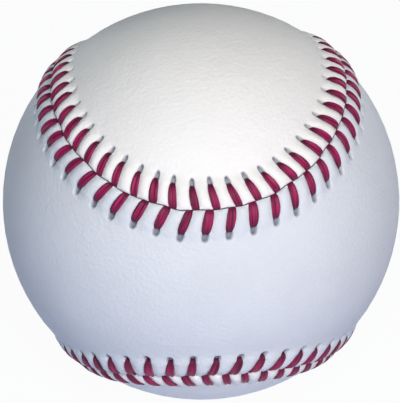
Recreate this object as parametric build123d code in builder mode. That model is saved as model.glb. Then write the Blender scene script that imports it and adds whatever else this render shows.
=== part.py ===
"""Cork-centre baseball: moulded centre, four yarn windings, two leather panels and sewn thread."""
import math
import os

from build123d import *

# Moulded centre of the ball
cork_core_diameter = 20.6
inner_rubber_wall = 4.0
rubber_washer_thickness = 1.2
outer_rubber_wall = 2.35

# Yarn windings, from the inside out
first_wool_wall = 14.4
second_wool_wall = 1.75
third_wool_wall = 1.95
cotton_wall = 0.8

# Leather cover
leather_thickness = 1.25
panel_waist = 32.8
welt_height = 0.7
welt_radius = 12.0

# Sewing
stitch_count = 108
hole_offset = 3.6
hole_shift = 0.56
stitch_lead = 0.9
thread_diameter = 0.65
thread_bend_radius = 0.4
thread_tail = 0.35

# Fits
layer_clearance = 0.05
washer_clearance = 0.03
thread_clearance = 0.05

# Radii that follow from the layers
cork_radius = cork_core_diameter / 2
inner_rubber_inside = cork_radius + layer_clearance
inner_rubber_radius = inner_rubber_inside + inner_rubber_wall
outer_rubber_inside = inner_rubber_radius + layer_clearance
outer_rubber_radius = outer_rubber_inside + outer_rubber_wall
first_wool_inside = outer_rubber_radius + layer_clearance
first_wool_radius = first_wool_inside + first_wool_wall
second_wool_inside = first_wool_radius + layer_clearance
second_wool_radius = second_wool_inside + second_wool_wall
third_wool_inside = second_wool_radius + layer_clearance
third_wool_radius = third_wool_inside + third_wool_wall
cotton_inside = third_wool_radius + layer_clearance
cotton_radius = cotton_inside + cotton_wall
leather_inside = cotton_radius + layer_clearance
ball_radius = leather_inside + leather_thickness

# Sizes that follow from the seam and the thread
thread_radius = thread_diameter / 2
seam_gap = thread_diameter + 2 * thread_clearance
hole_diameter = thread_diameter + 2 * thread_clearance
channel_half_width = hole_offset + thread_diameter
welt_path_radius = ball_radius + welt_height - welt_radius
waist_share = panel_waist / (2 * ball_radius)
reach = 4 * leather_thickness


def seam_direction(angle):
    """Unit vector from the ball's centre to the seam, once round for angle 0 to 2 pi."""
    wide = (1 + waist_share) / 2
    narrow = (1 - waist_share) / 2
    depth = 2 * math.sqrt(wide * narrow)
    return Vector(
        wide * math.sin(angle) + narrow * math.sin(3 * angle),
        -depth * math.cos(2 * angle),
        wide * math.cos(angle) - narrow * math.cos(3 * angle),
    )


def beside(outward, along, offset):
    """Unit vector moved off the seam over the ball by an offset, plus toward the first panel."""
    across = outward.cross(along).normalized()
    turn = offset / ball_radius
    return outward * math.cos(turn) + across * math.sin(turn)


def seam_loop(radius, offset=0.0, point_count=72):
    """Closed curve along the seam at a distance from the ball's centre."""
    points = []
    for number in range(point_count):
        angle = 2 * math.pi * number / point_count
        ahead = seam_direction(angle + 0.0001) - seam_direction(angle - 0.0001)
        points.append(beside(seam_direction(angle), ahead.normalized(), offset) * radius)
    return Edge.make_spline(points, periodic=True)


def seam_ribbon(half_width):
    """Band that follows the seam and stands through the cover."""
    low = leather_inside - reach
    high = ball_radius + reach
    low_left = seam_loop(low, -half_width)
    low_right = seam_loop(low, half_width)
    high_left = seam_loop(high, -half_width)
    high_right = seam_loop(high, half_width)
    walls = [
        Face.make_surface_from_curves(low_left, high_left),
        Face.make_surface_from_curves(low_right, high_right),
        Face.make_surface_from_curves(low_left, low_right),
        Face.make_surface_from_curves(high_left, high_right),
    ]
    return Solid(Shell(walls))


def welt_ring(radius):
    """Round bead under the seam, a quarter of it swept and mirrored twice."""
    path = seam_loop(welt_path_radius).trim(0, 0.25)
    start = Plane(origin=path @ 0, x_dir=-(path @ 0).normalized(), z_dir=path % 0)
    with BuildPart() as ring:
        with BuildSketch(start):
            Circle(radius)
        sweep(path=path)
        mirror(about=Plane.YZ)
        mirror(about=Plane.XY)
    return ring.part


def welt_surface(offset, radius):
    """Distance from the ball's centre to a bead of the welt, beside the seam."""
    turn = offset / ball_radius
    sideways = welt_path_radius * math.sin(turn)
    return welt_path_radius * math.cos(turn) + math.sqrt(radius ** 2 - sideways ** 2)


seam = seam_loop(ball_radius)
pitch = seam.length / stitch_count


def seam_point(station, offset, radius):
    """Point beside the seam, a distance along it and an offset across it."""
    share = (station / seam.length) % 1
    outward = seam.position_at(share).normalized()
    return beside(outward, seam.tangent_at(share), offset) * radius


def hole_plane(station, offset):
    """Plane across a stitch hole, facing outward."""
    outward = seam_point(station, offset, ball_radius)
    return Plane(origin=outward, z_dir=outward)


welt_inner_radius = welt_radius - leather_thickness
leather_top_at_hole = welt_surface(hole_offset, welt_radius)
leather_under_at_hole = welt_surface(hole_offset, welt_inner_radius)
channel_floor = leather_under_at_hole - thread_diameter - 2 * thread_clearance

# Cork and rubber core
with BuildPart() as cork_core:
    Sphere(cork_radius)

# Black rubber cups with a red washer between their rims
cup_rim = rubber_washer_thickness / 2 + washer_clearance
with BuildPart() as inner_rubber_cup_upper:
    Sphere(inner_rubber_radius)
    Sphere(inner_rubber_inside, mode=Mode.SUBTRACT)
    split(bisect_by=Plane.XY.offset(cup_rim), keep=Keep.TOP)

with BuildPart() as inner_rubber_cup_lower:
    Sphere(inner_rubber_radius)
    Sphere(inner_rubber_inside, mode=Mode.SUBTRACT)
    split(bisect_by=Plane.XY.offset(-cup_rim), keep=Keep.BOTTOM)

with BuildPart() as rubber_washer:
    Sphere(inner_rubber_radius)
    Sphere(inner_rubber_inside, mode=Mode.SUBTRACT)
    split(bisect_by=Plane.XY.offset(rubber_washer_thickness / 2), keep=Keep.BOTTOM)
    split(bisect_by=Plane.XY.offset(-rubber_washer_thickness / 2), keep=Keep.TOP)

# Red rubber moulded over the cups
with BuildPart() as outer_rubber_layer:
    Sphere(outer_rubber_radius)
    Sphere(outer_rubber_inside, mode=Mode.SUBTRACT)

# Wool windings
with BuildPart() as first_wool_winding:
    Sphere(first_wool_radius)
    Sphere(first_wool_inside, mode=Mode.SUBTRACT)

with BuildPart() as second_wool_winding:
    Sphere(second_wool_radius)
    Sphere(second_wool_inside, mode=Mode.SUBTRACT)

with BuildPart() as third_wool_winding:
    Sphere(third_wool_radius)
    Sphere(third_wool_inside, mode=Mode.SUBTRACT)

# Cotton winding, pressed in along the seam where the thread runs under the leather
with BuildPart() as cotton_winding:
    Sphere(cotton_radius)
    add(seam_ribbon(channel_half_width), mode=Mode.SUBTRACT)
    Sphere(channel_floor)
    Sphere(cotton_inside, mode=Mode.SUBTRACT)

# Space under the leather, raised along the seam
with BuildPart() as leather_space:
    Sphere(leather_inside)
    add(welt_ring(welt_inner_radius))

# Leather of both panels before they are parted along the seam
with BuildPart() as leather_blank:
    Sphere(ball_radius)
    add(welt_ring(welt_radius))
    add(leather_space.part, mode=Mode.SUBTRACT)
    add(seam_ribbon(seam_gap / 2), mode=Mode.SUBTRACT)

first_panel_holes = []
for stitch in range(stitch_count):
    first_panel_holes.append(hole_plane(stitch * pitch + hole_shift, hole_offset))

# First figure-eight panel, with the stitch holes punched along its edge
with BuildPart() as cover_panel_a:
    add(leather_blank.part.solids().sort_by(Axis.Y)[-1])
    with Locations(*first_panel_holes):
        Cylinder(hole_diameter / 2, reach, mode=Mode.SUBTRACT)

# Second panel, the same piece turned half round
with BuildPart() as cover_panel_b:
    add(cover_panel_a.part.rotate(Axis((0, 0, 0), (1, 0, 1)), 180))


def stitch_corners(stitch, side):
    """Corners of one stitch: up through the hole, over the leather and down into the seam."""
    hole = stitch * pitch + side * hole_shift
    dive = hole + stitch_lead
    middle = (hole + dive) / 2
    above = thread_clearance + thread_radius
    half_offset = hole_offset / 2
    return [
        seam_point(hole, side * hole_offset, leather_under_at_hole - above),
        seam_point(hole, side * hole_offset, leather_top_at_hole + above),
        seam_point(middle, side * half_offset, welt_surface(half_offset, welt_radius) + above),
        seam_point(dive, 0, ball_radius + welt_height + above),
        seam_point(dive, 0, ball_radius + welt_height - leather_thickness - above),
    ]


def thread_route(first_side):
    """Route of one strand of thread, changing side at every stitch, its two ends under the leather."""
    corners = []
    for stitch in range(stitch_count):
        side = first_side if stitch % 2 == 0 else -first_side
        corners.extend(stitch_corners(stitch, side))
    closing_run = corners[0] - corners[-1]
    start = corners[0] - closing_run * thread_tail
    finish = corners[-1] + closing_run * thread_tail
    stops = [start] + corners + [finish]
    bends = [(start, start, start)]
    for before, corner, after in zip(stops, stops[1:], stops[2:]):
        back = (before - corner).normalized()
        ahead = (after - corner).normalized()
        inward = (back + ahead).normalized()
        half_angle = math.acos(back.dot(ahead)) / 2
        cut = thread_bend_radius / math.tan(half_angle)
        bottom = thread_bend_radius / math.sin(half_angle) - thread_bend_radius
        bends.append((corner + back * cut, corner + inward * bottom, corner + ahead * cut))
    edges = []
    for last_bend, bend in zip(bends, bends[1:]):
        edges.append(Edge.make_line(last_bend[2], bend[0]))
        edges.append(Edge.make_three_point_arc(*bend))
    edges.append(Edge.make_line(bends[-1][2], finish))
    return Wire(edges)


# Two strands of thread, one for each needle
route_one = thread_route(1)
with BuildPart() as thread_one:
    with BuildSketch(Plane(origin=route_one @ 0, z_dir=route_one % 0)):
        Circle(thread_radius)
    sweep(path=route_one)

route_two = thread_route(-1)
with BuildPart() as thread_two:
    with BuildSketch(Plane(origin=route_two @ 0, z_dir=route_two % 0)):
        Circle(thread_radius)
    sweep(path=route_two)

os.makedirs("parts", exist_ok=True)

cork_core.part.label = "cork_core"
export_step(cork_core.part, "parts/cork_core.step")

inner_rubber_cup_upper.part.label = "inner_rubber_cup_upper"
export_step(inner_rubber_cup_upper.part, "parts/inner_rubber_cup_upper.step")

inner_rubber_cup_lower.part.label = "inner_rubber_cup_lower"
export_step(inner_rubber_cup_lower.part, "parts/inner_rubber_cup_lower.step")

rubber_washer.part.label = "rubber_washer"
export_step(rubber_washer.part, "parts/rubber_washer.step")

outer_rubber_layer.part.label = "outer_rubber_layer"
export_step(outer_rubber_layer.part, "parts/outer_rubber_layer.step")

first_wool_winding.part.label = "first_wool_winding"
export_step(first_wool_winding.part, "parts/first_wool_winding.step")

second_wool_winding.part.label = "second_wool_winding"
export_step(second_wool_winding.part, "parts/second_wool_winding.step")

third_wool_winding.part.label = "third_wool_winding"
export_step(third_wool_winding.part, "parts/third_wool_winding.step")

cotton_winding.part.label = "cotton_winding"
export_step(cotton_winding.part, "parts/cotton_winding.step")

cover_panel_a.part.label = "cover_panel_a"
export_step(cover_panel_a.part, "parts/cover_panel_a.step")

cover_panel_b.part.label = "cover_panel_b"
export_step(cover_panel_b.part, "parts/cover_panel_b.step")

thread_one.part.label = "thread_one"
export_step(thread_one.part, "parts/thread_one.step")

thread_two.part.label = "thread_two"
export_step(thread_two.part, "parts/thread_two.step")
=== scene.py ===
import math

import bpy
import numpy as np
from mathutils import Matrix, Vector


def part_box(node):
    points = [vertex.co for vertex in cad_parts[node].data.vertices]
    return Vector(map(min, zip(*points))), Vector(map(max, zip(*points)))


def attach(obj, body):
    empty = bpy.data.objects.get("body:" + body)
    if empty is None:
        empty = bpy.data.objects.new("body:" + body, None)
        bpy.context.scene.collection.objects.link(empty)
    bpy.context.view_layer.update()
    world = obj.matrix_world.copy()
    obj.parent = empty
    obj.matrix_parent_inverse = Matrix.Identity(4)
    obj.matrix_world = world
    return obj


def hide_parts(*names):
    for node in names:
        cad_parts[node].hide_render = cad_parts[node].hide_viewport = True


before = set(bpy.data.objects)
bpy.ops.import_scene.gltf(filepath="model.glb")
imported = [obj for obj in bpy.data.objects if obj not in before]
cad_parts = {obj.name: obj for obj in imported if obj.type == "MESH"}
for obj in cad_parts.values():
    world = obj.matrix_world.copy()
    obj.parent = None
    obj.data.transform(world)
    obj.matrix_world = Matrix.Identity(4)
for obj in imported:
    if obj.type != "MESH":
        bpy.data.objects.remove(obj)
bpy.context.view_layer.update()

bl_info = {
    "name": "Sewn leather ball",
    "version": (1, 0, 0),
    "blender": (4, 5, 0),
    "location": "View3D > Sidebar > Ball",
    "description": "Leather panels, sewn thread, inner layers and stage for a baseball",
    "category": "Object",
}

MM = 0.001
# Longer side of the picture, in pixels
IMAGE_HEIGHT = 403

# The two panels: the side of the seam on which each lies
TOP_SIDE = 1
FRONT_SIDE = -1


class BallSizes(bpy.types.PropertyGroup):
    """Sizes of the leather cover and its seam."""

    ball_radius: bpy.props.FloatProperty(
        name="Ball radius",
        description="Radius over the bare leather",
        default=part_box("cover_panel_a")[1].z,
        unit="LENGTH",
    )
    panel_waist: bpy.props.FloatProperty(
        name="Panel waist",
        description="Narrowest width of a panel, straight across from seam to seam",
        default=32.8 * MM,
        unit="LENGTH",
    )
    leather_thickness: bpy.props.FloatProperty(
        name="Leather thickness",
        description="Thickness of a leather panel",
        default=1.25 * MM,
        unit="LENGTH",
    )
    welt_height: bpy.props.FloatProperty(
        name="Welt height",
        description="Height of the raised leather along the seam",
        default=0.7 * MM,
        unit="LENGTH",
    )
    welt_radius: bpy.props.FloatProperty(
        name="Welt radius",
        description="Rounding of the raised leather across the seam",
        default=12.0 * MM,
        unit="LENGTH",
    )
    dip_depth: bpy.props.FloatProperty(
        name="Dip depth",
        description="How far the raised leather dips to the seam line",
        default=0.35 * MM,
        unit="LENGTH",
    )
    dip_width: bpy.props.FloatProperty(
        name="Dip width",
        description="How far from the seam line the dip starts",
        default=1.9 * MM,
        unit="LENGTH",
    )
    seam_stray: bpy.props.FloatProperty(
        name="Seam stray",
        description="How far the seam strays from its smooth line",
        default=0.2 * MM,
        unit="LENGTH",
    )
    toe_softness: bpy.props.FloatProperty(
        name="Toe softness",
        description="How softly the raised leather runs out into the ball",
        default=0.12 * MM,
        unit="LENGTH",
    )
    crease_depth: bpy.props.FloatProperty(
        name="Crease depth",
        description="How far a stitch presses into the leather",
        default=0.3 * MM,
        unit="LENGTH",
    )
    crease_width: bpy.props.FloatProperty(
        name="Crease width",
        description="Half width of the crease under a stitch",
        default=0.75 * MM,
        unit="LENGTH",
    )
    swell_height: bpy.props.FloatProperty(
        name="Swell height",
        description="How far the leather swells up between two stitches",
        default=0.36 * MM,
        unit="LENGTH",
    )
    hole_depth: bpy.props.FloatProperty(
        name="Hole depth",
        description="Depth of the stretched stitch hole",
        default=0.85 * MM,
        unit="LENGTH",
    )
    hole_half_width: bpy.props.FloatProperty(
        name="Hole half width",
        description="Half width of the stretched stitch hole",
        default=0.54 * MM,
        unit="LENGTH",
    )
    hole_half_length: bpy.props.FloatProperty(
        name="Hole half length",
        description="Half length of the stretched stitch hole",
        default=1.08 * MM,
        unit="LENGTH",
    )
    hole_centre: bpy.props.FloatProperty(
        name="Hole centre",
        description="Distance from where the thread goes in to the hole's middle",
        default=0.87 * MM,
        unit="LENGTH",
    )


class SewingSizes(bpy.types.PropertyGroup):
    """Sizes and spacing of the stitches."""

    stitch_count: bpy.props.IntProperty(
        name="Stitches",
        description="Stitches round the seam on each panel",
        default=108,
    )
    hole_offset: bpy.props.FloatProperty(
        name="Hole offset",
        description="Distance from the seam to where the thread goes into its hole",
        default=3.6 * MM,
        unit="LENGTH",
    )
    hole_shift: bpy.props.FloatProperty(
        name="Hole shift",
        description="How far each panel's holes are shifted along the seam, one ahead and one back",
        default=0.56 * MM,
        unit="LENGTH",
    )
    stitch_lead: bpy.props.FloatProperty(
        name="Stitch lead",
        description="How far a stitch leans along the seam between its hole and the seam",
        default=0.9 * MM,
        unit="LENGTH",
    )
    thread_width: bpy.props.FloatProperty(
        name="Thread width",
        description="Width of the thread where it lies pressed flat",
        default=1.54 * MM,
        unit="LENGTH",
    )
    thread_thickness: bpy.props.FloatProperty(
        name="Thread thickness",
        description="Thickness of the thread where it lies pressed flat",
        default=0.83 * MM,
        unit="LENGTH",
    )
    unevenness: bpy.props.FloatProperty(
        name="Unevenness",
        description="How far hand-sewn stitches stray from their places",
        default=0.09 * MM,
        unit="LENGTH",
    )
    seed: bpy.props.IntProperty(
        name="Seed",
        description="Seed of the uneven sewing",
        default=5,
    )


class BallColours(bpy.types.PropertyGroup):
    """Colours of the pieces."""

    # The two panels' whites are partly their own tones and partly painted light and shade: the top's warmer,
    # brighter white and the front's cooler, darker white stand in part for the warm light from above and the
    # bluish light from below
    top_leather: bpy.props.FloatVectorProperty(
        name="Top leather",
        description="Colour of the panel over the top, a warm white",
        default=(0.905, 0.905, 0.885),
        subtype="COLOR",
        min=0.0,
        max=1.0,
    )
    front_leather: bpy.props.FloatVectorProperty(
        name="Front leather",
        description="Colour of the panel at the front, a cool white",
        default=(0.715, 0.755, 0.80),
        subtype="COLOR",
        min=0.0,
        max=1.0,
    )
    dullness: bpy.props.FloatProperty(
        name="Dullness",
        description="How much darker the leather's dull patches are",
        default=0.04,
        subtype="FACTOR",
        min=0.0,
        max=1.0,
    )
    # Grey inside a stitch hole, partly the raw leather there and partly painted shade; the same grey paints
    # the shade on the edges in the seam's gap
    hole: bpy.props.FloatVectorProperty(
        name="Hole",
        description="Colour of the leather inside a stitch hole",
        default=(0.125, 0.14, 0.205),
        subtype="COLOR",
        min=0.0,
        max=1.0,
    )
    # The thread's two colours, mixed along the yarns, are partly its own tones and partly painted highlight
    # streaks on the yarns and painted shade between them and where it sinks into the leather
    thread: bpy.props.FloatVectorProperty(
        name="Thread",
        description="Colour of the waxed thread",
        default=(0.41, 0.01, 0.106),
        subtype="COLOR",
        min=0.0,
        max=1.0,
    )
    thread_dark_and_shade: bpy.props.FloatVectorProperty(
        name="Thread, between its fibres",
        description="Colour of the thread between its fibres",
        default=(0.075, 0.002, 0.026),
        subtype="COLOR",
        min=0.0,
        max=1.0,
    )


class StageSettings(bpy.types.PropertyGroup):
    """Light and camera."""

    key_power: bpy.props.FloatProperty(
        name="Key light",
        description="Power of the soft light above the camera",
        default=2.13,
        subtype="POWER",
    )
    side_power: bpy.props.FloatProperty(
        name="Side light",
        description="Power of the warm light at the right of the camera",
        default=1.82,
        subtype="POWER",
    )
    low_power: bpy.props.FloatProperty(
        name="Low light",
        description="Power of the light low at the left of the camera",
        default=0.74,
        subtype="POWER",
    )
    back_power: bpy.props.FloatProperty(
        name="Back lights",
        description="Power of each of the two soft lights low behind the ball",
        default=0.6,
        subtype="POWER",
    )
    camera_distance: bpy.props.FloatProperty(
        name="Camera distance",
        description="Distance of the camera from the ball's centre, in ball radii",
        default=8.3,
    )
    lens: bpy.props.FloatProperty(
        name="Lens",
        description="Focal length of the camera in millimetres",
        default=145.9,
    )


def start_clean():
    """Leaves edit mode and deselects everything."""
    if bpy.context.object and bpy.context.object.mode != "OBJECT":
        bpy.ops.object.mode_set(mode="OBJECT")
    bpy.ops.object.select_all(action="DESELECT")


def unit(vectors):
    """Vectors of length one."""
    return vectors / np.linalg.norm(vectors, axis=-1, keepdims=True)


# Waves round the seam by which it strays, each with its start, and how far from the seam that is felt
SEAM_WAVES = ((31, 0.4), (47, 2.1), (73, 4.0))
SEAM_STRAY_REACH = 3.0 * MM
# Points along the seam line by which its length is measured
SEAM_SAMPLES = 14401


class SeamLine:
    """The closed figure-eight line on the ball where the two panels meet."""

    def __init__(self, sizes):
        self.radius = sizes.ball_radius
        self.stray = sizes.seam_stray
        waist = sizes.panel_waist / (2 * sizes.ball_radius)
        self.wide = (1 + waist) / 2
        self.narrow = (1 - waist) / 2
        self.depth = 2 * math.sqrt(self.wide * self.narrow)
        self.angles = np.linspace(0, 2 * math.pi, SEAM_SAMPLES)
        points = self.direction(self.angles) * self.radius
        steps = np.linalg.norm(np.diff(points, axis=0), axis=1)
        self.lengths = np.concatenate([[0.0], np.cumsum(steps)])
        self.length = self.lengths[-1]

    def direction(self, angle):
        """Unit vectors from the ball's centre to the seam."""
        x = self.wide * np.sin(angle) + self.narrow * np.sin(3 * angle)
        y = -self.depth * np.cos(2 * angle)
        z = self.wide * np.cos(angle) - self.narrow * np.cos(3 * angle)
        return np.stack([x, y, z], axis=-1)

    def heading(self, angle):
        """Unit vectors along the seam."""
        x = self.wide * np.cos(angle) + 3 * self.narrow * np.cos(3 * angle)
        y = 2 * self.depth * np.sin(2 * angle)
        z = -self.wide * np.sin(angle) + 3 * self.narrow * np.sin(3 * angle)
        return unit(np.stack([x, y, z], axis=-1))

    def wander(self, station, offset):
        """How far the sewn seam strays sideways from its smooth line, less and less away from it."""
        turn = 2 * math.pi * station / self.length
        stray = sum(np.sin(waves * turn + start) for waves, start in SEAM_WAVES) / len(SEAM_WAVES)
        return self.stray * stray * np.exp(-((offset / SEAM_STRAY_REACH) ** 2))

    def outward(self, station, offset):
        """Unit vectors from the centre to points at a distance along the seam and an offset across it."""
        angle = np.interp(np.mod(station, self.length), self.lengths, self.angles)
        up = self.direction(angle)
        across = np.cross(up, self.heading(angle))
        turn = (offset + self.wander(station, offset))[..., None] / self.radius
        return up * np.cos(turn) + across * np.sin(turn)

    def place(self, station, offset, height):
        """Points beside the seam, at a height over the ball."""
        return self.outward(station, offset) * (self.radius + np.asarray(height)[..., None])


# Most that a stitch strays, in multiples of the unevenness, and the share its width changes for each
STRAY_LIMIT = 2.0
FATNESS_STRAY = 0.06
# Past the thread's way in, the hole leans back along the seam by a share of the distance, up to a reach
LEAN_BACK = 0.12
LEAN_BACK_REACH = 2.0 * MM


class StitchPlan:
    """Where every stitch of both panels starts and ends along the seam."""

    def __init__(self, seam, sewing):
        draw = np.random.RandomState(sewing.seed)
        count = sewing.stitch_count
        self.count = count
        self.pitch = seam.length / count
        self.hole = {}
        self.dive = {}
        self.offset = {}
        self.fatness = {}
        for side in (TOP_SIDE, FRONT_SIDE):
            stray = draw.normal(0.0, 1.0, (count, 4)).clip(-STRAY_LIMIT, STRAY_LIMIT)
            along = np.arange(count) * self.pitch
            self.hole[side] = along + side * sewing.hole_shift + stray[:, 0] * sewing.unevenness
            self.dive[side] = self.hole[side] + sewing.stitch_lead + stray[:, 1] * sewing.unevenness
            self.offset[side] = sewing.hole_offset + stray[:, 2] * sewing.unevenness
            self.fatness[side] = 1.0 + FATNESS_STRAY * stray[:, 3]

    def line(self, side, stitch, offset):
        """Distance along the seam of a stitch's middle line at an offset from the seam."""
        hole = self.hole[side][stitch]
        dive = self.dive[side][stitch]
        reach = self.offset[side][stitch]
        share = np.clip(offset / reach, 0.0, 1.0)
        beyond = np.clip(offset - reach, 0.0, LEAN_BACK_REACH)
        return dive + (hole - dive) * share - LEAN_BACK * beyond


def soft_above(value, softness):
    """Value where it is above nothing, running out softly."""
    return 0.5 * (value + np.sqrt(value ** 2 + softness ** 2)) - 0.5 * softness


def smooth_step(value, low, high):
    """Zero below low, one above high, smooth between."""
    share = np.clip((value - low) / (high - low), 0.0, 1.0)
    return share * share * (3 - 2 * share)


# Power of the rounded outline of a stitch hole: 2 is an ellipse, more is squarer
HOLE_SQUARENESS = 2.6
# Rim of a stitch hole, over which its depth and its grey, partly painted shade, set in, as shares of its
# half sizes
HOLE_DEPTH_RIM = (0.68, 1.04)
HOLE_SHADE_RIM = (0.7, 1.02)
# How grey a hole is at the thread, where it is palest; towards its outer end a painted shadow darkens it
# fully
HOLE_PALEST = 0.76
# Distance from the seam over which creases and swells set in
FORM_START = 0.6 * MM
# Distances past the thread's way in over which a crease runs out, and by which the swells have run out
CREASE_END = (-0.3 * MM, 0.5 * MM)
SWELL_END = 2.6 * MM
# Distances from a stitch's middle line over which the leather swells up
SWELL_RISE = (0.45 * MM, 1.8 * MM)


class LeatherShape:
    """Heights of the leather over the ball beside the seam."""

    def __init__(self, sizes):
        self.sizes = sizes
        self.bead_path = sizes.ball_radius + sizes.welt_height - sizes.welt_radius

    def bead(self, offset, radius):
        """Distance from the centre to the round bead under the seam."""
        turn = offset / self.sizes.ball_radius
        sideways = np.minimum(self.bead_path * np.sin(turn), radius)
        return self.bead_path * np.cos(turn) + np.sqrt(radius ** 2 - sideways ** 2)

    def welt(self, offset):
        """Height of the outer face of the raised leather, which dips to the seam line."""
        rise = self.bead(offset, self.sizes.welt_radius) - self.sizes.ball_radius
        dip = self.sizes.dip_depth * (1.0 - smooth_step(offset, 0.0, self.sizes.dip_width))
        return soft_above(rise, self.sizes.toe_softness) - dip

    def under(self, offset):
        """Height of the inner face of the leather."""
        floor = self.sizes.ball_radius - self.sizes.leather_thickness
        inner = self.bead(offset, self.sizes.welt_radius - self.sizes.leather_thickness)
        return soft_above(inner - floor, self.sizes.toe_softness) - self.sizes.leather_thickness

    def hole_distance(self, across, offset, reach):
        """Distance from the middle of a stitch hole, one at its rim."""
        middle = reach + self.sizes.hole_centre
        wide = np.abs(across) / self.sizes.hole_half_width
        long = np.abs(offset - middle) / self.sizes.hole_half_length
        return (wide ** HOLE_SQUARENESS + long ** HOLE_SQUARENESS) ** (1 / HOLE_SQUARENESS)

    def hole_shade(self, across, offset, reach):
        """How grey a stitch hole is, partly its raw leather and partly painted shade, darkest at its outer
        end under a painted shadow; nothing outside it.
        """
        inside = 1.0 - smooth_step(self.hole_distance(across, offset, reach), *HOLE_SHADE_RIM)
        outer_end_shadow = smooth_step(offset - reach - self.sizes.hole_centre, 0.0, self.sizes.hole_half_length)
        return inside * (HOLE_PALEST + (1.0 - HOLE_PALEST) * outer_end_shadow)

    def outer(self, across, offset, reach):
        """Height of the outer face, with creases under the stitches, swells between them and holes."""
        from_seam = smooth_step(offset, 0.0, FORM_START)
        to_hole = 1.0 - smooth_step(offset - reach, *CREASE_END)
        past_hole = 1.0 - smooth_step(offset - reach, 0.0, SWELL_END)
        crease = np.exp(-((across / self.sizes.crease_width) ** 2)) * from_seam * to_hole
        swell = smooth_step(np.abs(across), *SWELL_RISE) * from_seam * past_hole
        hole = 1.0 - smooth_step(self.hole_distance(across, offset, reach), *HOLE_DEPTH_RIM)
        height = self.welt(offset) + self.sizes.swell_height * swell
        return height - self.sizes.crease_depth * crease - self.sizes.hole_depth * hole


SHEET_SIZE = 2.0
# Distances within which the points of a panel and of a strand are welded, and the share of them below which
# an edge is a speck
PANEL_WELD = 0.001 * MM
STRAND_WELD = 0.002 * MM
SPECK_SHARE = 0.1


def add_sheet(name, columns, rows):
    """Adds a flat grid as an object and gives the column and row of each of its points."""
    start_clean()
    bpy.ops.mesh.primitive_grid_add(x_subdivisions=columns, y_subdivisions=rows, size=SHEET_SIZE)
    sheet = bpy.context.object
    sheet.name = name
    sheet.data.name = name
    flat = np.empty(len(sheet.data.vertices) * 3)
    sheet.data.vertices.foreach_get("co", flat)
    flat = flat.reshape(-1, 3)
    column = np.rint((flat[:, 0] / SHEET_SIZE + 0.5) * columns).astype(int)
    row = np.rint((flat[:, 1] / SHEET_SIZE + 0.5) * rows).astype(int)
    if column.max() != columns or len(flat) != (columns + 1) * (rows + 1):
        raise RuntimeError("the grid has another count of points than asked")
    return sheet, column, row


def set_points(piece, points):
    """Moves the points of a piece's mesh."""
    piece.data.vertices.foreach_set("co", np.ascontiguousarray(points, dtype=np.float64).ravel())
    piece.data.update()


def close_piece(piece, distance):
    """Welds the open edges of a rolled or folded sheet and turns its faces outward."""
    start_clean()
    piece.select_set(True)
    bpy.context.view_layer.objects.active = piece
    bpy.ops.object.mode_set(mode="EDIT")
    bpy.ops.mesh.select_all(action="SELECT")
    bpy.ops.mesh.remove_doubles(threshold=distance)
    bpy.ops.mesh.dissolve_degenerate(threshold=distance * SPECK_SHARE)
    bpy.ops.mesh.select_all(action="SELECT")
    bpy.ops.mesh.normals_make_consistent(inside=False)
    bpy.ops.object.mode_set(mode="OBJECT")
    bpy.ops.object.shade_smooth()
    start_clean()


def round_off(piece):
    """Rounds off the facets of a closed piece with one level of subdivision."""
    start_clean()
    piece.select_set(True)
    bpy.context.view_layer.objects.active = piece
    bpy.ops.object.modifier_add(type="SUBSURF")
    rounding = piece.modifiers[-1]
    rounding.levels = 1
    rounding.render_levels = 1
    bpy.ops.object.modifier_apply(modifier=rounding.name)
    bpy.ops.object.shade_smooth()
    start_clean()


# Rows of a panel's rounded edge: distance from the seam and drop below the outer face, in millimetres
EDGE_ROWS = ((0.05, 0.62), (0.05, 0.36), (0.07, 0.2), (0.13, 0.09), (0.23, 0.03))
# Rows of its outer face from there inward, closest together at the holes, and of its inner face
FACE_ROWS = (
    0.38, 0.55, 0.85, 1.2, 1.6, 2.0, 2.4, 2.75, 3.0, 3.2, 3.36, 3.52, 3.68, 3.84, 4.0, 4.16, 4.32,
    4.48, 4.64, 4.8, 4.96, 5.12, 5.28, 5.44, 5.6, 5.76, 5.95, 6.3, 7.0,
)
UNDER_ROWS = (0.03, 0.9, 2.0, 3.2, 4.4, 5.4, 7.0)
# Drops below the outer face, in millimetres, over which the edge turns as grey as a hole: painted shade in
# the seam's gap
EDGE_SHADE_DROPS = (0.08, 0.4)
# Shares of the way from the last row of each face to the panel's middle line
OUTER_SHARES = (0.12, 0.25, 0.38, 0.51, 0.64, 0.77, 0.9, 1.0)
UNDER_SHARES = (0.3, 0.6, 0.9, 1.0)
# Columns beside each stitch, across its middle line, in millimetres
STITCH_COLUMNS = (-1.15, -0.8, -0.62, -0.47, -0.32, -0.16, 0.0, 0.16, 0.32, 0.47, 0.62, 0.8, 1.15)
# Steps of a panel's middle line, and the angle at which it starts. It ends as far past the half turn.
MIDDLE_STEPS = 90
MIDDLE_END = math.radians(-25)


def spread(start, finish, share):
    """Points on the way over the ball from start to finish."""
    turn = np.arccos(np.clip(np.sum(start * finish, axis=-1, keepdims=True), -1.0, 1.0))
    return (np.sin((1 - share) * turn) * start + np.sin(share * turn) * finish) / np.sin(turn)


def middle_line(directions, side, stepped):
    """Nearest places on the middle line of a panel, which runs round the ball from lobe to lobe."""
    if side == TOP_SIDE:
        angle = np.arctan2(directions[..., 1], directions[..., 2])
    else:
        angle = np.arctan2(-directions[..., 1], directions[..., 0])
    angle = np.where(angle < -math.pi / 2, angle + 2 * math.pi, angle)
    angle = np.clip(angle, MIDDLE_END, math.pi - MIDDLE_END)
    if stepped:
        step = (math.pi - 2 * MIDDLE_END) / MIDDLE_STEPS
        angle = MIDDLE_END + np.rint((angle - MIDDLE_END) / step) * step
    none = np.zeros_like(angle)
    if side == TOP_SIDE:
        return np.stack([none, np.sin(angle), np.cos(angle)], axis=-1)
    return np.stack([np.cos(angle), -np.sin(angle), none], axis=-1)


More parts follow.
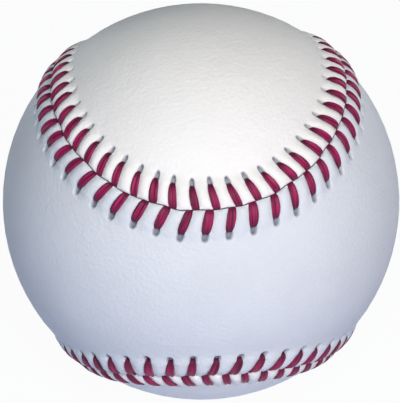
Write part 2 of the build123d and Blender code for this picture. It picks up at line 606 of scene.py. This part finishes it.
def panel_columns(plan, side, offset):
    """Place along the seam of each column of a panel, distance from its stitch, and that stitch's reach."""
    stitches = np.arange(plan.count)
    lines = plan.line(side, stitches, offset)
    following = np.roll(lines, -1)
    following[-1] += plan.pitch * plan.count
    beside = np.array(STITCH_COLUMNS) * MM
    near = lines[:, None] + beside[None, :]
    between = 0.5 * (lines + following)[:, None]
    station = np.concatenate([near, between], axis=1).ravel()
    across = np.concatenate([np.tile(beside, (plan.count, 1)), between - lines[:, None]], axis=1).ravel()
    reach = np.repeat(plan.offset[side], len(beside) + 1)
    return station, across, reach


def build_panel(name, side, seam, plan, shape):
    """One leather panel: a strip as long as the seam, folded over its edge and closed along its middle."""
    rows = []
    shades = []

    def add_middle_rows(height, shares):
        last_directions = unit(rows[-1])
        for share in shares:
            at_middle = share == 1.0
            target = middle_line(last_directions, side, at_middle)
            directions = target if at_middle else spread(last_directions, target, share)
            rows.append(directions * (seam.radius + height))
            shades.append(np.zeros(len(directions)))

    for offset in UNDER_ROWS:
        station = panel_columns(plan, side, offset * MM)[0]
        height = np.full_like(station, shape.under(offset * MM))
        rows.append(seam.place(station, np.full_like(station, side * offset * MM), height))
        shades.append(np.zeros_like(station))
    add_middle_rows(-shape.sizes.leather_thickness, UNDER_SHARES)
    # The strip starts at the middle of the inner face, which has no shade
    rows.reverse()
    for offset, drop in (*EDGE_ROWS, *((offset, 0.0) for offset in FACE_ROWS)):
        station, across, reach = panel_columns(plan, side, offset * MM)
        offsets = np.full_like(station, offset * MM)
        height = shape.outer(across, offsets, reach) - drop * MM
        rows.append(seam.place(station, side * offsets, height))
        # Painted shade on the edge where it turns down into the seam's gap
        edge = smooth_step(drop, *EDGE_SHADE_DROPS)
        shades.append(np.maximum(shape.hole_shade(across, offsets, reach), edge))
    add_middle_rows(0.0, OUTER_SHARES)

    points = np.stack(rows)
    shade = np.stack(shades)
    column_count = points.shape[1]
    panel, column, row = add_sheet(name, column_count, len(rows) - 1)
    column = column % column_count
    set_points(panel, points[row, column])
    layer = panel.data.attributes.new("hole_shade", "FLOAT", "POINT")
    layer.data.foreach_set("value", shade[row, column].astype(np.float32))
    close_piece(panel, PANEL_WELD)
    return panel


# Section of the thread: two plies above, flat below, as shares of its width and thickness
THREAD_SECTION = (
    (-0.5, 0.02), (-0.41, 0.34), (-0.22, 0.48), (0.0, 0.1), (0.22, 0.48), (0.41, 0.34), (0.5, 0.02),
    (0.3, -0.4), (-0.3, -0.4),
)
# Rings of one stitch from its hole to the seam: over the leather or under it, distance from the seam and
# height in millimetres, width and thickness as shares of the thread's, and how much painted shade it gets
# where it sinks into the leather. Heights start at the raised leather for a ring over it, and otherwise at
# the round ball.
STITCH_RINGS = (
    ("under", 3.95, -1.3, 0.45, 0.75, 1.0),
    ("under", 4.02, -0.45, 0.55, 0.75, 1.0),
    ("over", 3.92, -0.12, 0.7, 0.75, 1.0),
    ("over", 3.6, 0.12, 0.85, 0.8, 0.85),
    ("over", 2.8, 0.2, 1.0, 0.95, 0.2),
    ("over", 1.9, 0.22, 1.05, 1.0, 0.0),
    ("over", 1.0, 0.21, 1.02, 1.0, 0.15),
    ("over", 0.45, 0.14, 0.97, 0.85, 0.5),
    ("over", 0.16, -0.02, 0.9, 0.65, 0.9),
    ("under", 0.02, -0.1, 0.8, 0.5, 1.0),
    ("under", -0.15, -1.2, 0.6, 0.6, 1.0),
)
# Twist of the thread on its way under the leather, in degrees, at these shares of the way
UNDER_TWISTS = ((0.35, 60.0), (0.7, 120.0))
HALF_TURN = 180.0
# Width of the thread there, as a share of its width over the leather
UNDER_WIDTH = 0.5
# How much of the crease's depth the thread goes down into
CREASE_SHARE = 0.35
# How far a stitch leans on past its ends, as shares of the way from the seam to its hole
LEAN_RANGE = (-0.1, 1.05)


def stitch_rings(side, shape, sewing, plan):
    """Rings of a stitch laid out flat: their middles, their sections and how much painted shade each gets
    where it sinks into the leather.

    A middle is given along, across and above the seam, a section by its width, thickness and twist.
    """
    middles = []
    sections = []
    sunk_shades = []
    for kind, offset, height, wide, thick, sunk in STITCH_RINGS:
        offset = offset * MM
        along = sewing.stitch_lead * (1.0 - np.clip(offset / sewing.hole_offset, *LEAN_RANGE))
        above = height * MM
        if kind == "over":
            above += shape.welt(offset) - CREASE_SHARE * shape.sizes.crease_depth
        middles.append((along, offset, float(above)))
        sections.append((wide * sewing.thread_width, thick * sewing.thread_thickness, 0.0))
        sunk_shades.append(sunk)
    first = middles[0]
    last = middles[-1]
    step = plan.pitch - 2 * side * sewing.hole_shift
    end = (step + first[0], -first[1], first[2])
    for share, twist in UNDER_TWISTS:
        middles.append(tuple(a + (b - a) * share for a, b in zip(last, end)))
        sections.append((UNDER_WIDTH * sewing.thread_width, sewing.thread_thickness, twist))
        sunk_shades.append(1.0)
    middles.append(end)
    sections.append((*sections[0][:2], HALF_TURN))
    sunk_shades.append(1.0)
    return np.array(middles), sections, np.array(sunk_shades)


class FlatStitch:
    """One stitch laid out flat: a sheet rolled into a tube along its way, from one hole to the next."""

    def __init__(self, side, shape, sewing, plan):
        self.middles, sections, sunk = stitch_rings(side, shape, sewing, plan)
        count = len(self.middles)
        sides = len(THREAD_SECTION)
        self.over = np.zeros(count, dtype=bool)
        self.over[:len(STITCH_RINGS)] = [ring[0] == "over" for ring in STITCH_RINGS]
        ways = np.gradient(self.middles, axis=0)
        ways[0] = (0.0, 0.0, 1.0)
        ways[-1] = (0.0, 0.0, 1.0)
        self.rings = np.zeros((count, sides, 3))
        for number, (wide, thick, twist) in enumerate(sections):
            way = Vector(ways[number]).normalized()
            along = Vector((1.0, 0.0, 0.0))
            along = (along - way * along.dot(way)).normalized()
            above = way.cross(along)
            turn = Matrix.Rotation(math.radians(twist), 3, way)
            along = turn @ along
            above = turn @ above
            for place, (share_wide, share_thick) in enumerate(THREAD_SECTION):
                self.rings[number, place] = along * (share_wide * wide) + above * (share_thick * thick)
        self.sheet, column, self.row = add_sheet("stitch", sides, count - 1)
        self.column = column % sides
        layer = self.sheet.data.attributes.new("sunk", "FLOAT", "POINT")
        layer.data.foreach_set("value", sunk[self.row].astype(np.float32))


def stitch_points(flat, side, stitch, seam, plan, sewing):
    """Points of one stitch in its place on the ball, ring by ring."""
    following = (stitch + 1) % plan.count
    hole = plan.hole[side][stitch]
    next_hole = plan.hole[-side][following]
    if following == 0:
        next_hole += plan.pitch * plan.count
    middles = flat.middles
    flat_along = [0.0, sewing.stitch_lead, plan.pitch - 2 * side * sewing.hole_shift]
    real_along = [hole, plan.dive[side][stitch], next_hole]
    along = np.interp(middles[:, 0], flat_along, real_along)
    along += np.minimum(middles[:, 0], 0.0)
    along[-1] = next_hole + middles[0, 0]
    own = plan.offset[side][stitch] / sewing.hole_offset
    other = plan.offset[-side][following] / sewing.hole_offset
    across = np.where(middles[:, 1] > 0, middles[:, 1] * own, middles[:, 1] * other)
    fatness = np.where(flat.over, plan.fatness[side][stitch], 1.0)
    station = along[:, None] + flat.rings[:, :, 0] * fatness[:, None]
    offset = side * (across[:, None] + flat.rings[:, :, 1])
    height = middles[:, 2][:, None] + flat.rings[:, :, 2]
    return seam.place(station, offset, height)


def run_on(piece, stitch):
    """Moves a stitch's map of itself along, so that no two stitches of a strand have the same fibres."""
    layer = piece.data.uv_layers.active.data
    places = np.empty(len(layer) * 2)
    layer.foreach_get("uv", places)
    places[1::2] += stitch
    layer.foreach_set("uv", places)


def sew_strand(name, first_side, seam, plan, shape, sewing):
    """One strand of thread: stitches from both sides in turn, joined into one cord round the whole seam."""
    flats = {side: FlatStitch(side, shape, sewing, plan) for side in (TOP_SIDE, FRONT_SIDE)}
    pieces = []
    for stitch in range(plan.count):
        side = first_side if stitch % 2 == 0 else -first_side
        flat = flats[side]
        points = stitch_points(flat, side, stitch, seam, plan, sewing)
        piece = flat.sheet.copy()
        piece.data = flat.sheet.data.copy()
        bpy.context.collection.objects.link(piece)
        set_points(piece, points[flat.row, flat.column])
        run_on(piece, stitch)
        pieces.append(piece)
    for flat in flats.values():
        bpy.data.objects.remove(flat.sheet)
    start_clean()
    for piece in pieces:
        piece.select_set(True)
    bpy.context.view_layer.objects.active = pieces[0]
    bpy.ops.object.join()
    strand = bpy.context.object
    strand.name = name
    strand.data.name = name
    close_piece(strand, STRAND_WELD)
    round_off(strand)
    return strand


# Places of the mix node's sockets, several of which share a name
MIX_FACTOR = 0
MIX_NUMBERS = (2, 3)
MIX_NUMBER_RESULT = 0
MIX_COLOURS = (6, 7)
MIX_COLOUR_RESULT = 2


class Finish:
    """A new material with its shader and short ways to add nodes to it."""

    def __init__(self, name):
        self.material = bpy.data.materials.new(name)
        self.material.use_nodes = True
        self.tree = self.material.node_tree
        self.shader = self.tree.nodes["Principled BSDF"]
        self.where = self.node("ShaderNodeTexCoord").outputs["Object"]

    def node(self, kind, **settings):
        """A new node with some of its settings changed."""
        made = self.tree.nodes.new(kind)
        for key, value in settings.items():
            setattr(made, key, value)
        return made

    def link(self, start, finish):
        """Links one node's output to another's input."""
        self.tree.links.new(start, finish)

    def noise(self, scale, detail, roughness, where=None):
        """Soft irregular patches."""
        made = self.node("ShaderNodeTexNoise")
        made.inputs["Scale"].default_value = scale
        made.inputs["Detail"].default_value = detail
        made.inputs["Roughness"].default_value = roughness
        self.link(where or self.where, made.inputs["Vector"])
        return made.outputs["Fac"]

    def cells(self, scale):
        """Packed cells, low in their middles."""
        made = self.node("ShaderNodeTexVoronoi")
        made.inputs["Scale"].default_value = scale
        self.link(self.where, made.inputs["Vector"])
        return made.outputs["Distance"]

    def ramp(self, value, low, high, low_value=0.0, high_value=1.0):
        """A value spread from between low and high to between two others."""
        made = self.node("ShaderNodeMapRange")
        made.inputs["From Min"].default_value = low
        made.inputs["From Max"].default_value = high
        made.inputs["To Min"].default_value = low_value
        made.inputs["To Max"].default_value = high_value
        self.link(value, made.inputs["Value"])
        return made.outputs["Result"]

    def blend(self, factor, first, second):
        """A colour between two others, each given by a node or as numbers."""
        made = self.node("ShaderNodeMix", data_type="RGBA")
        self.link(factor, made.inputs[MIX_FACTOR])
        for colour, place in zip((first, second), MIX_COLOURS):
            if hasattr(colour, "is_output"):
                self.link(colour, made.inputs[place])
            else:
                made.inputs[place].default_value = (*colour, 1.0)
        return made.outputs[MIX_COLOUR_RESULT]

    def between(self, factor, first, second):
        """A number between two others."""
        made = self.node("ShaderNodeMix", data_type="FLOAT")
        self.link(factor, made.inputs[MIX_FACTOR])
        for value, place in zip((first, second), MIX_NUMBERS):
            self.link(value, made.inputs[place])
        return made.outputs[MIX_NUMBER_RESULT]

    def bump(self, height, strength, distance, below=None):
        """Fine relief, on top of another one where that is given."""
        made = self.node("ShaderNodeBump")
        made.inputs["Strength"].default_value = strength
        made.inputs["Distance"].default_value = distance
        self.link(height, made.inputs["Height"])
        if below is not None:
            self.link(below, made.inputs["Normal"])
        return made.outputs["Normal"]

    def stretched_map(self, across, along):
        """The piece's own map, stretched by so much across and along one stitch."""
        made = self.node("ShaderNodeMapping")
        made.inputs["Scale"].default_value = (across, along, 1.0)
        self.link(self.node("ShaderNodeTexCoord").outputs["UV"], made.inputs["Vector"])
        return made.outputs["Vector"]

    def attribute(self, name):
        """A value that the mesh carries at its points."""
        made = self.node("ShaderNodeAttribute", attribute_name=name)
        return made.outputs["Fac"]

    def set(self, **values):
        """Sets sockets of the shader, named with _ for a space, to a node's output, a colour or a number."""
        for key, value in values.items():
            socket = self.shader.inputs[key.replace("_", " ")]
            if hasattr(value, "is_output"):
                self.link(value, socket)
            elif isinstance(value, (tuple, list)):
                socket.default_value = (*value, 1.0)
            else:
                socket.default_value = value


def give(piece, material):
    """Makes a material the piece's only one."""
    piece.data.materials.clear()
    piece.data.materials.append(material)


def leather_finish(name, white, colours):
    """White leather with a fine grain, faint dull patches and grey stitch holes."""
    finish = Finish(name)
    patches = finish.ramp(finish.noise(scale=90.0, detail=5.0, roughness=0.6), low=0.4, high=0.7)
    dull = tuple(part * (1.0 - colours.dullness) for part in white)
    colour = finish.blend(patches, tuple(white), dull)
    # Grey of the stitch holes, partly raw leather and partly painted shade, and painted shade on the edges
    # in the seam's gap
    hole = finish.attribute("hole_shade")
    colour = finish.blend(hole, colour, tuple(colours.hole))
    grain = finish.noise(scale=2600.0, detail=3.0, roughness=0.6)
    pores = finish.cells(scale=1500.0)
    swell = finish.noise(scale=260.0, detail=3.0, roughness=0.5)
    normal = finish.bump(swell, strength=0.13, distance=0.6 * MM)
    normal = finish.bump(pores, strength=0.28, distance=0.2 * MM, below=normal)
    normal = finish.bump(grain, strength=0.25, distance=0.2 * MM, below=normal)
    rough = finish.ramp(grain, low=0.3, high=0.7, low_value=0.52, high_value=0.68)
    finish.set(Base_Color=colour, Roughness=rough, Normal=normal, Specular_IOR_Level=0.25)
    return finish.material


def thread_finish(colours):
    """Waxed thread: yarns and fibres along it, darker between them, partly its own tone and partly painted
    shade with painted highlight streaks, and with painted shade where it sinks into the leather.
    """
    finish = Finish("red_thread")
    yarn_map = finish.stretched_map(across=11.0, along=1.7)
    yarns = finish.noise(scale=1.0, detail=2.0, roughness=0.6, where=yarn_map)
    fibre_map = finish.stretched_map(across=40.0, along=3.0)
    fibres = finish.noise(scale=1.0, detail=3.0, roughness=0.6, where=fibre_map)
    fuzz = finish.noise(scale=1800.0, detail=4.0, roughness=0.6)
    # Yarn streaks: partly the thread's own tone, partly painted highlights on the yarns and painted shade
    # between them
    shade = finish.ramp(yarns, low=0.36, high=0.62)
    colour = finish.blend(shade, tuple(colours.thread_dark_and_shade), tuple(colours.thread))
    # Painted shade at both ends of a stitch, where the thread sinks into the leather
    sunk = finish.ramp(finish.attribute("sunk"), low=0.0, high=1.0, high_value=0.85)
    colour = finish.blend(sunk, colour, tuple(colours.thread_dark_and_shade))
    normal = finish.bump(yarns, strength=0.6, distance=0.18 * MM)
    normal = finish.bump(fibres, strength=0.4, distance=0.1 * MM, below=normal)
    normal = finish.bump(fuzz, strength=0.2, distance=0.08 * MM, below=normal)
    finish.set(Base_Color=colour, Roughness=0.5, Normal=normal)
    finish.set(Specular_IOR_Level=0.3, Sheen_Weight=0.04, Sheen_Roughness=0.4)
    return finish.material


CORK_DARK = (0.40, 0.25, 0.13)
CORK_PALE = (0.62, 0.44, 0.27)
RUBBER_CRUMB = (0.05, 0.04, 0.03)


def cork_finish():
    """Pressed cork crumb with dark rubber crumb among it."""
    finish = Finish("pressed_cork")
    crumbs = finish.cells(scale=420.0)
    tone = finish.ramp(finish.noise(scale=240.0, detail=5.0, roughness=0.65), low=0.35, high=0.65)
    colour = finish.blend(tone, CORK_DARK, CORK_PALE)
    specks = finish.ramp(finish.noise(scale=700.0, detail=2.0, roughness=0.5), low=0.62, high=0.68)
    colour = finish.blend(specks, colour, RUBBER_CRUMB)
    normal = finish.bump(crumbs, strength=0.5, distance=0.6 * MM)
    finish.set(Base_Color=colour, Roughness=0.85, Normal=normal)
    return finish.material


def rubber_finish(name, colour, dusty):
    """Moulded rubber with a fine dusty bloom."""
    finish = Finish(name)
    bloom = finish.ramp(finish.noise(scale=180.0, detail=6.0, roughness=0.65), low=0.4, high=0.75)
    skin = finish.noise(scale=1400.0, detail=3.0, roughness=0.6)
    finish.set(
        Base_Color=finish.blend(bloom, colour, dusty),
        Roughness=finish.ramp(skin, low=0.3, high=0.7, low_value=0.5, high_value=0.68),
        Normal=finish.bump(skin, strength=0.12, distance=0.2 * MM),
    )
    return finish.material


# Directions in which the yarn is wound, as turns in radians, and how fine the patches are in which each lies
# over those before it
YARN_TURNS = ((0.3, 0.2, 0.0), (1.2, 0.5, 0.9), (0.7, 1.3, 2.0))
YARN_PATCHES = (None, 85.0, 110.0)


def yarn_finish(name, colour, shade, strands):
    """Wound yarn: bands of strands that cross each other in several directions, with painted shade in the
    low grooves between them.
    """
    finish = Finish(name)
    for turn, patches in zip(YARN_TURNS, YARN_PATCHES):
        mapping = finish.node("ShaderNodeMapping")
        mapping.inputs["Rotation"].default_value = turn
        finish.link(finish.where, mapping.inputs["Vector"])
        wave = finish.node("ShaderNodeTexWave", wave_type="BANDS", bands_direction="X")
        wave.inputs["Scale"].default_value = strands
        wave.inputs["Distortion"].default_value = 1.5
        wave.inputs["Detail"].default_value = 3.0
        wave.inputs["Detail Scale"].default_value = 1.2
        finish.link(mapping.outputs["Vector"], wave.inputs["Vector"])
        if patches is None:
            height = wave.outputs["Fac"]
            continue
        over = finish.ramp(finish.noise(scale=patches, detail=2.0, roughness=0.5), low=0.48, high=0.54)
        height = finish.between(over, height, wave.outputs["Fac"])
    fuzz = finish.noise(scale=2200.0, detail=4.0, roughness=0.65)
    normal = finish.bump(height, strength=0.7, distance=0.6 * MM)
    normal = finish.bump(fuzz, strength=0.3, distance=0.2 * MM, below=normal)
    # Darker where the relief is low: painted shade in the grooves between strands
    colour = finish.blend(height, shade, colour)
    finish.set(Base_Color=colour, Roughness=0.9, Normal=normal, Sheen_Weight=0.3)
    return finish.material


class BALL_OT_centre(bpy.types.Operator):
    """Gives the cork core and the rubber round it their finishes"""

    bl_idname = "ball.centre"
    bl_label = "Finish the centre"

    def execute(self, context):
        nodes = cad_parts
        black = rubber_finish("black_rubber", colour=(0.012, 0.012, 0.012), dusty=(0.05, 0.05, 0.05))
        red = rubber_finish("red_rubber", colour=(0.36, 0.03, 0.02), dusty=(0.44, 0.09, 0.07))
        give(nodes["cork_core"], cork_finish())
        give(nodes["inner_rubber_cup_upper"], black)
        give(nodes["inner_rubber_cup_lower"], black)
        give(nodes["rubber_washer"], red)
        give(nodes["outer_rubber_layer"], red)
        return {"FINISHED"}


class BALL_OT_windings(bpy.types.Operator):
    """Gives the yarn windings their finishes"""

    bl_idname = "ball.windings"
    bl_label = "Finish the windings"

    def execute(self, context):
        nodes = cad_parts
        grey = yarn_finish("grey_wool", colour=(0.42, 0.42, 0.41), shade=(0.2, 0.2, 0.2), strands=300.0)
        white = yarn_finish("white_wool", colour=(0.8, 0.79, 0.75), shade=(0.45, 0.44, 0.42), strands=330.0)
        cotton = yarn_finish("cotton_yarn", colour=(0.86, 0.83, 0.75), shade=(0.6, 0.57, 0.5), strands=600.0)
        give(nodes["first_wool_winding"], grey)
        give(nodes["second_wool_winding"], white)
        give(nodes["third_wool_winding"], grey)
        give(nodes["cotton_winding"], cotton)
        return {"FINISHED"}


class BALL_OT_cover(bpy.types.Operator):
    """Builds the two leather panels with their raised edges and stitch holes"""

    bl_idname = "ball.cover"
    bl_label = "Build the cover"

    def execute(self, context):
        sizes = context.scene.ball_sizes
        sewing = context.scene.ball_sewing
        seam = SeamLine(sizes)
        plan = StitchPlan(seam, sewing)
        shape = LeatherShape(sizes)
        colours = context.scene.ball_colours
        # Each panel's white is partly its own tone and partly painted light and shade
        for name, side, node, white in (
            ("top_panel", TOP_SIDE, "cover_panel_a", colours.top_leather),
            ("front_panel", FRONT_SIDE, "cover_panel_b", colours.front_leather),
        ):
            panel = build_panel(name, side, seam, plan, shape)
            give(panel, leather_finish(name + "_leather", white, colours))
            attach(panel, "root")
            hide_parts(node)
        return {"FINISHED"}


class BALL_OT_thread(bpy.types.Operator):
    """Sews the two strands of thread round the seam"""

    bl_idname = "ball.thread"
    bl_label = "Sew the thread"

    def execute(self, context):
        sizes = context.scene.ball_sizes
        sewing = context.scene.ball_sewing
        seam = SeamLine(sizes)
        plan = StitchPlan(seam, sewing)
        shape = LeatherShape(sizes)
        red = thread_finish(context.scene.ball_colours)
        for name, side, node in (
            ("first_strand", TOP_SIDE, "thread_one"),
            ("second_strand", FRONT_SIDE, "thread_two"),
        ):
            strand = sew_strand(name, side, seam, plan, shape, sewing)
            give(strand, red)
            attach(strand, "root")
            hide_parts(node)
        return {"FINISHED"}


FLOOR_SIZE = 4.0
FLOOR_COLOUR = (0.45, 0.56, 0.82)
# How white the floor shows to the camera, the rest being its lit colour with the shadow
FLOOR_WHITE = 0.96
ROOM_COLOUR = (0.3, 0.5, 1.0)
ROOM_STRENGTH = 0.03
# Soft lights: name, place and size in metres, which of the stage's powers each has, and its colour
SOFT_LIGHTS = (
    ("key_light", (0.03, -0.46, 0.47), 0.2, "key_power", (0.9, 0.985, 1.0)),
    ("side_light", (0.24, -0.54, 0.28), 0.2, "side_power", (1.0, 0.83, 0.77)),
    ("low_light", (-0.30, -0.55, 0.08), 0.3, "low_power", (1.0, 0.94, 0.97)),
    ("back_left_light", (-0.28, 0.54, 0.06), 0.18, "back_power", (0.93, 0.97, 1.0)),
    ("back_right_light", (0.36, 0.48, 0.06), 0.18, "back_power", (0.93, 0.97, 1.0)),
)
# Directions from the ball to the camera and up in the picture
CAMERA_SIDE = Vector((-0.0318, -0.8779, 0.4778))
CAMERA_UP = Vector((0.0453, 0.4763, 0.8781))
# Sensor in millimetres, nearest distance shown in metres, and shift to the right and up in pixels
CAMERA_SENSOR = 36.0
CAMERA_NEAREST = 0.01
CAMERA_SHIFT = (-1.0, -0.1)


def add_soft_light(name, place, size, power, colour):
    """A square soft light that faces the ball."""
    bpy.ops.object.light_add(type="AREA", location=place)
    light = bpy.context.object
    light.name = name
    light.data.shape = "SQUARE"
    light.data.size = size
    light.data.energy = power
    light.data.color = colour
    light.rotation_euler = (-Vector(place)).to_track_quat("-Z", "Y").to_euler()


def floor_finish():
    """Pale floor that shows white to the camera and keeps a soft shadow."""
    finish = Finish("pale_floor")
    finish.set(Base_Color=FLOOR_COLOUR, Roughness=0.9, Specular_IOR_Level=0.0)
    glow = finish.node("ShaderNodeEmission")
    glow.inputs["Color"].default_value = (1.0, 1.0, 1.0, 1.0)
    glow.inputs["Strength"].default_value = 1.0
    path = finish.node("ShaderNodeLightPath")
    seen = path.outputs["Is Camera Ray"]
    for ray in ("Is Glossy Ray", "Is Transmission Ray"):
        either = finish.node("ShaderNodeMath", operation="MAXIMUM")
        finish.link(seen, either.inputs[0])
        finish.link(path.outputs[ray], either.inputs[1])
        seen = either.outputs[0]
    share = finish.node("ShaderNodeMath", operation="MULTIPLY")
    finish.link(seen, share.inputs[0])
    share.inputs[1].default_value = FLOOR_WHITE
    mix = finish.node("ShaderNodeMixShader")
    finish.link(share.outputs[0], mix.inputs["Fac"])
    finish.link(finish.shader.outputs["BSDF"], mix.inputs[1])
    finish.link(glow.outputs["Emission"], mix.inputs[2])
    finish.link(mix.outputs["Shader"], finish.tree.nodes["Material Output"].inputs["Surface"])
    return finish.material


class BALL_OT_stage(bpy.types.Operator):
    """Sets the floor, the soft lights and the camera"""

    bl_idname = "ball.stage"
    bl_label = "Set the stage"

    def execute(self, context):
        scene = context.scene
        stage = scene.ball_stage
        radius = scene.ball_sizes.ball_radius
        start_clean()
        bpy.ops.mesh.primitive_plane_add(size=FLOOR_SIZE, location=(0.0, 0.0, -radius))
        floor = bpy.context.object
        floor.name = "floor"
        bpy.ops.object.transform_apply(location=True)
        give(floor, floor_finish())

        world = bpy.data.worlds.new("soft_room")
        world.use_nodes = True
        background = world.node_tree.nodes["Background"]
        background.inputs["Color"].default_value = (*ROOM_COLOUR, 1.0)
        background.inputs["Strength"].default_value = ROOM_STRENGTH
        scene.world = world

        for name, place, size, power, colour in SOFT_LIGHTS:
            add_soft_light(name, place, size, getattr(stage, power), colour)

        back = CAMERA_SIDE.normalized()
        right = CAMERA_UP.cross(back).normalized()
        above = back.cross(right).normalized()
        place = back * (stage.camera_distance * radius)
        turn = Matrix((right, above, back)).transposed().to_4x4()
        bpy.ops.object.camera_add(location=place)
        camera = bpy.context.object
        camera.name = "camera"
        camera.matrix_world = Matrix.Translation(place) @ turn
        camera.data.sensor_width = CAMERA_SENSOR
        camera.data.lens = stage.lens
        camera.data.clip_start = CAMERA_NEAREST
        camera.data.shift_x = CAMERA_SHIFT[0] / IMAGE_HEIGHT
        camera.data.shift_y = CAMERA_SHIFT[1] / IMAGE_HEIGHT
        scene.camera = camera
        scene.view_settings.view_transform = "Standard"
        start_clean()
        return {"FINISHED"}


class BALL_PT_panel(bpy.types.Panel):
    """Lists the sizes, the colours and the steps of the ball"""

    bl_idname = "BALL_PT_panel"
    bl_label = "Ball"
    bl_space_type = "VIEW_3D"
    bl_region_type = "UI"
    bl_category = "Ball"

    def draw(self, context):
        scene = context.scene
        for group in (scene.ball_sizes, scene.ball_sewing, scene.ball_colours, scene.ball_stage):
            box = self.layout.box()
            for name in group.__annotations__:
                box.prop(group, name)
        for step in STEPS:
            self.layout.operator(step.bl_idname)


GROUPS = (BallSizes, SewingSizes, BallColours, StageSettings)
STEPS = (BALL_OT_centre, BALL_OT_windings, BALL_OT_cover, BALL_OT_thread, BALL_OT_stage)


def register():
    """Registers the groups of sizes, the steps and the panel."""
    for kind in (*GROUPS, *STEPS, BALL_PT_panel):
        bpy.utils.register_class(kind)
    bpy.types.Scene.ball_sizes = bpy.props.PointerProperty(type=BallSizes)
    bpy.types.Scene.ball_sewing = bpy.props.PointerProperty(type=SewingSizes)
    bpy.types.Scene.ball_colours = bpy.props.PointerProperty(type=BallColours)
    bpy.types.Scene.ball_stage = bpy.props.PointerProperty(type=StageSettings)


def unregister():
    """Takes away what register added."""
    del bpy.types.Scene.ball_stage
    del bpy.types.Scene.ball_colours
    del bpy.types.Scene.ball_sewing
    del bpy.types.Scene.ball_sizes
    for kind in reversed((*GROUPS, *STEPS, BALL_PT_panel)):
        bpy.utils.unregister_class(kind)


def main():
    """Runs the steps in order."""
    register()
    bpy.ops.ball.centre()
    bpy.ops.ball.windings()
    bpy.ops.ball.cover()
    bpy.ops.ball.thread()
    bpy.ops.ball.stage()


if __name__ == "__main__":
    main()
